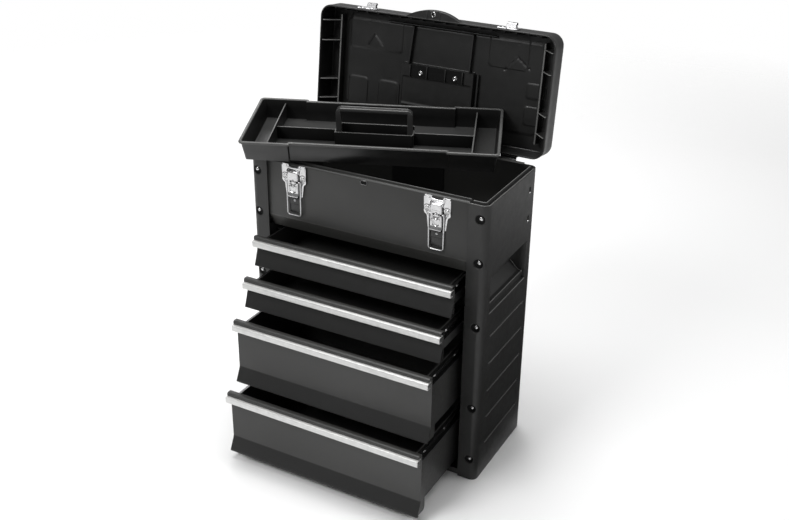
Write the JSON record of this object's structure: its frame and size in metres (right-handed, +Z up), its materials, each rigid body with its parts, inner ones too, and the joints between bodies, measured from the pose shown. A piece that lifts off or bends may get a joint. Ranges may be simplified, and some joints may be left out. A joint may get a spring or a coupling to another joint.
{
  "type": "portable tool box with drawers",
  "caption": "Portable tool box with a hinged lid over a tray compartment, sheet steel drawers with aluminium pull strips, plastic end caps and wire draw latches.",
  "frame": {"origin": "Centre of the base, on the ground plane between the end caps' outer faces and midway between their front and rear faces.", "axes": "+X to the right, +Y to the back, +Z up; the drawers open towards -Y and the lid is hinged at the back. The rest pose has the lid open and the drawers drawn out in steps."},
  "size_m": [0.5202, 0.4613, 0.7865],
  "materials": {
    "cap_plastic": "satin",
    "lid_plastic": "satin",
    "tray_plastic": "satin",
    "handle_plastic": "satin",
    "black_plastic": "matte",
    "strip_aluminium": "satin",
    "bright_metal": "polished",
    "black_rail": "gloss",
    "black_steel": "satin",
    "dark_steel": "satin"
  },
  "bodies": {
    "body": {"back_panel": "dark_steel", "base_pan": "dark_steel", "compartment_back_plate": "black_plastic", "compartment_floor": "dark_steel", "corner_rivets": "bright_metal", "end_cap_left": "cap_plastic", "end_cap_right": "cap_plastic", "front_panel": "dark_steel", "hinge_leaf_body": "black_steel", "hinge_pin": "bright_metal", "latch_pins": "bright_metal", "latch_plate_left": "bright_metal", "latch_plate_right": "bright_metal", "latch_rivets": "bright_metal", "lock_plug": "bright_metal", "side_rivets": "bright_metal", "side_sheet_left": "dark_steel", "side_sheet_right": "dark_steel", "slide_channels_left": "black_rail", "slide_channels_right": "black_rail"},
    "lid": {"lid_shell": "lid_plastic", "hinge_leaf_lid": "black_steel", "lid_catch_left": "bright_metal", "lid_catch_right": "bright_metal", "lid_catch_rivets": "bright_metal", "handle_bracket": "black_steel", "handle_screws": "bright_metal", "handle_pin": "bright_metal"},
    "carry_handle": {"carry_handle": "handle_plastic"},
    "tray": {"tray": "tray_plastic", "tray_handle": "tray_plastic"},
    "latch_lever_left": {"latch_lever_left": "bright_metal"},
    "latch_bail_left": {"latch_bail_left": "bright_metal"},
    "latch_lever_right": {"latch_lever_right": "bright_metal"},
    "latch_bail_right": {"latch_bail_right": "bright_metal"},
    "drawer_1": {"drawer_1_box": "dark_steel", "drawer_1_front": "dark_steel", "drawer_1_strip": "strip_aluminium", "drawer_1_runners": "black_rail", "drawer_1_screws": "bright_metal"},
    "drawer_2": {"drawer_2_box": "dark_steel", "drawer_2_front": "dark_steel", "drawer_2_strip": "strip_aluminium", "drawer_2_runners": "black_rail", "drawer_2_screws": "bright_metal"},
    "drawer_3": {"drawer_3_box": "dark_steel", "drawer_3_front": "dark_steel", "drawer_3_strip": "strip_aluminium", "drawer_3_runners": "black_rail", "drawer_3_screws": "bright_metal"},
    "drawer_4": {"drawer_4_box": "dark_steel", "drawer_4_front": "dark_steel", "drawer_4_strip": "strip_aluminium", "drawer_4_runners": "black_rail", "drawer_4_screws": "bright_metal"}
  },
  "joints": [
    {"name": "lid_hinge", "type": "hinge", "parent": "body", "child": "lid", "pos_m": [0, 0.114, 0.548], "axis": [1, 0, 0], "range_deg": [0, 97]},
    {"name": "carry_handle_fold", "type": "hinge", "parent": "lid", "child": "carry_handle", "pos_m": [0, 0.17508, 0.66392], "axis": [1, 0, 0], "range_deg": [0, 90]},
    {"name": "tray_lift", "type": "slide", "parent": "body", "child": "tray", "axis": [0, -0.9659, 0.2588], "range_m": [0, 0.6]},
    {"name": "latch_lever_left_turn", "type": "hinge", "parent": "body", "child": "latch_lever_left", "pos_m": [-0.142, -0.1062, 0.536], "axis": [-1, 0, 0], "range_deg": [0, 135]},
    {"name": "latch_bail_left_swing", "type": "hinge", "parent": "latch_lever_left", "child": "latch_bail_left", "pos_m": [-0.142, -0.1062, 0.518], "axis": [1, 0, 0], "range_deg": [-150, 0]},
    {"name": "latch_lever_right_turn", "type": "hinge", "parent": "body", "child": "latch_lever_right", "pos_m": [0.142, -0.1062, 0.536], "axis": [-1, 0, 0], "range_deg": [0, 135]},
    {"name": "latch_bail_right_swing", "type": "hinge", "parent": "latch_lever_right", "child": "latch_bail_right", "pos_m": [0.142, -0.1062, 0.518], "axis": [1, 0, 0], "range_deg": [-172, 0]},
    {"name": "drawer_1_slide", "type": "slide", "parent": "body", "child": "drawer_1", "axis": [0, -1, 0], "range_m": [-0.0565, 0.1095]},
    {"name": "drawer_2_slide", "type": "slide", "parent": "body", "child": "drawer_2", "axis": [0, -1, 0], "range_m": [-0.093, 0.073]},
    {"name": "drawer_3_slide", "type": "slide", "parent": "body", "child": "drawer_3", "axis": [0, -1, 0], "range_m": [-0.1316, 0.0344]},
    {"name": "drawer_4_slide", "type": "slide", "parent": "body", "child": "drawer_4", "axis": [0, -1, 0], "range_m": [-0.1632, 0.0028]}
  ],
  "couplings": [
    {"joint": "tray_lift", "follows": "lid_hinge", "m_per_rad": 0.354}
  ]
}
